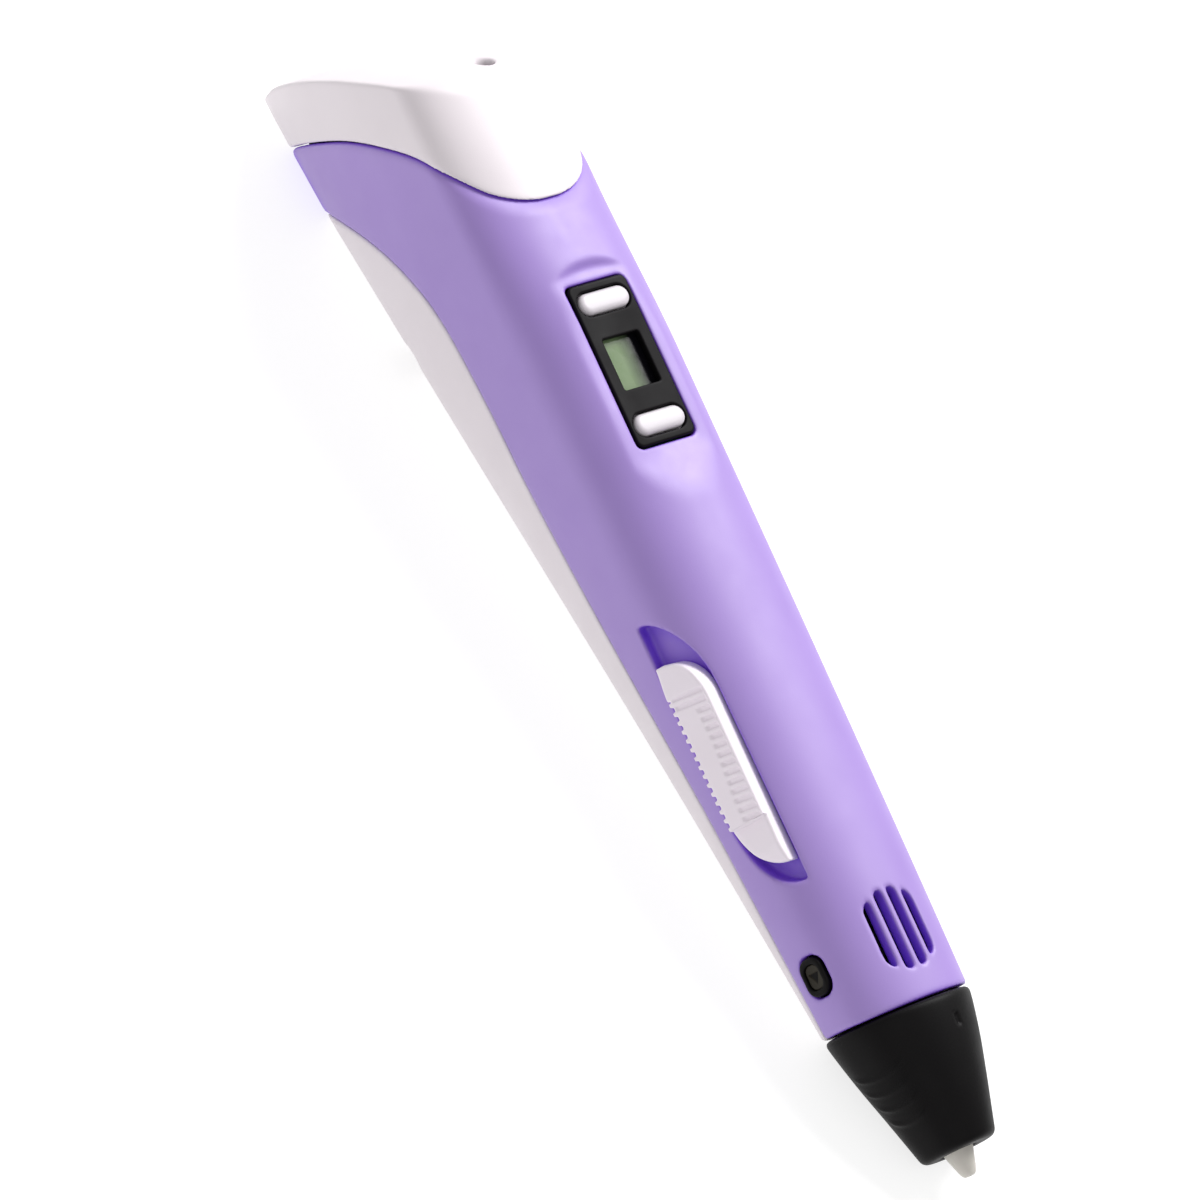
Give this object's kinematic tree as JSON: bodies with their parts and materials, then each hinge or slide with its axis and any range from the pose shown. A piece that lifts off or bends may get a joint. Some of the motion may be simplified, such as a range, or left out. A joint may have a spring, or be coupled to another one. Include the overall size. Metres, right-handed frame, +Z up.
{
  "type": "three d pen",
  "caption": "Handheld pen for drawing in melted plastic: black nose with ceramic nozzle, lavender and white shell, small display, temperature keys, speed slider, feed keys and power inlet.",
  "frame": {"origin": "centre of the bounding box at its lowest plane, on the table that the keel lies on", "axes": "+X along the pen towards its nozzle, +Z up with the display facing up, the speed slider on the -Y side"},
  "size_m": [0.1884, 0.0266, 0.0418],
  "materials": {
    "purple_plastic": "satin lavender moulded plastic",
    "white_plastic": "satin white moulded plastic",
    "black_plastic": "satin black moulded plastic",
    "panel_black": "smooth dark panel",
    "lcd_glass": "grey-green liquid crystal glass",
    "ceramic": "unglazed off-white ceramic",
    "steel": "plain steel",
    "brass": "plain brass",
    "ptfe": "translucent white tube",
    "board_green": "green circuit board",
    "heater_sleeve": "woven insulating sleeve",
    "lead_red": "red insulated lead"
  },
  "bodies": {
    "housing": {"upper_shell": "purple_plastic", "lower_shell": "white_plastic", "tail_cap": "white_plastic", "nose_cone": "black_plastic", "ceramic_nozzle": "ceramic", "heater_barrel": "steel", "heater_sleeve": "heater_sleeve", "tube_coupler": "brass", "feed_tube": "ptfe", "inlet_tube": "ptfe", "motor_can": "steel", "gearbox": "brass", "motor_bracket": "steel", "idler_spring": "steel", "display_panel": "panel_black", "lcd_module": "lcd_glass", "main_board": "board_green", "controller_chip": "black_plastic", "temp_up_switch": "black_plastic", "temp_down_switch": "black_plastic", "slide_pot": "steel", "feed_switch": "black_plastic", "retract_switch": "black_plastic", "fan_frame": "black_plastic", "dc_jack": "black_plastic", "jack_pin": "steel", "case_screw_front": "steel", "case_screw_rear": "steel", "heater_lead": "lead_red", "fan_lead": "lead_red", "motor_lead": "lead_red", "power_lead": "lead_red"},
    "temp_up_button": {"temp_up_button": "white_plastic"},
    "temp_down_button": {"temp_down_button": "white_plastic"},
    "speed_slider": {"speed_slider": "white_plastic", "pot_lever": "black_plastic"},
    "feed_button": {"feed_button": "black_plastic"},
    "retract_button": {"retract_button": "black_plastic"},
    "drive": {"drive_shaft": "steel", "drive_gear": "brass"},
    "idler_arm": {"idler_arm": "black_plastic"},
    "idler_bearing": {"idler_bearing": "steel"},
    "fan": {"fan_impeller": "black_plastic"}
  },
  "joints": [
    {"name": "temp_up_press", "type": "slide", "parent": "housing", "child": "temp_up_button", "axis": [-0.1876, 0, -0.9822], "range_m": [0, 0.0005], "stiffness_N_per_m": 500, "springref_m": -0.0005},
    {"name": "temp_down_press", "type": "slide", "parent": "housing", "child": "temp_down_button", "axis": [-0.1876, 0, -0.9822], "range_m": [0, 0.0005], "stiffness_N_per_m": 500, "springref_m": -0.0005},
    {"name": "speed_slide", "type": "slide", "parent": "housing", "child": "speed_slider", "axis": [-0.9818, -0.0133, 0.1892], "range_m": [-0.001, 0.0033]},
    {"name": "feed_press", "type": "slide", "parent": "housing", "child": "feed_button", "axis": [-0.0326, 0.9848, -0.1706], "range_m": [0, 0.0008], "stiffness_N_per_m": 500, "springref_m": -0.0005},
    {"name": "retract_press", "type": "slide", "parent": "housing", "child": "retract_button", "axis": [-0.0326, -0.9848, -0.1706], "range_m": [0, 0.0008], "stiffness_N_per_m": 500, "springref_m": -0.0005},
    {"name": "drive_spin", "type": "hinge", "parent": "housing", "child": "drive", "pos_m": [-0.05325, -0.00048, 0.03272], "axis": [0.1876, 0, 0.9822], "continuous": true},
    {"name": "idler_swing", "type": "hinge", "parent": "housing", "child": "idler_arm", "pos_m": [-0.0616, 0.00752, 0.03431], "axis": [0.1876, 0, 0.9822], "range_deg": [0, 8], "stiffness_Nm_per_rad": 0.4, "springref_deg": -8.59, "deforming": ["idler_spring"]},
    {"name": "idler_bearing_spin", "type": "hinge", "parent": "idler_arm", "child": "idler_bearing", "pos_m": [-0.05325, 0.00582, 0.03272], "axis": [0.1876, 0, 0.9822], "continuous": true},
    {"name": "fan_spin", "type": "hinge", "parent": "housing", "child": "fan", "pos_m": [0.06148, 0.00052, 0.01671], "axis": [0.1876, 0, 0.9822], "continuous": true}
  ],
  "couplings": [
    {"joint": "idler_bearing_spin", "follows": "drive_spin", "ratio": -1}
  ]
}
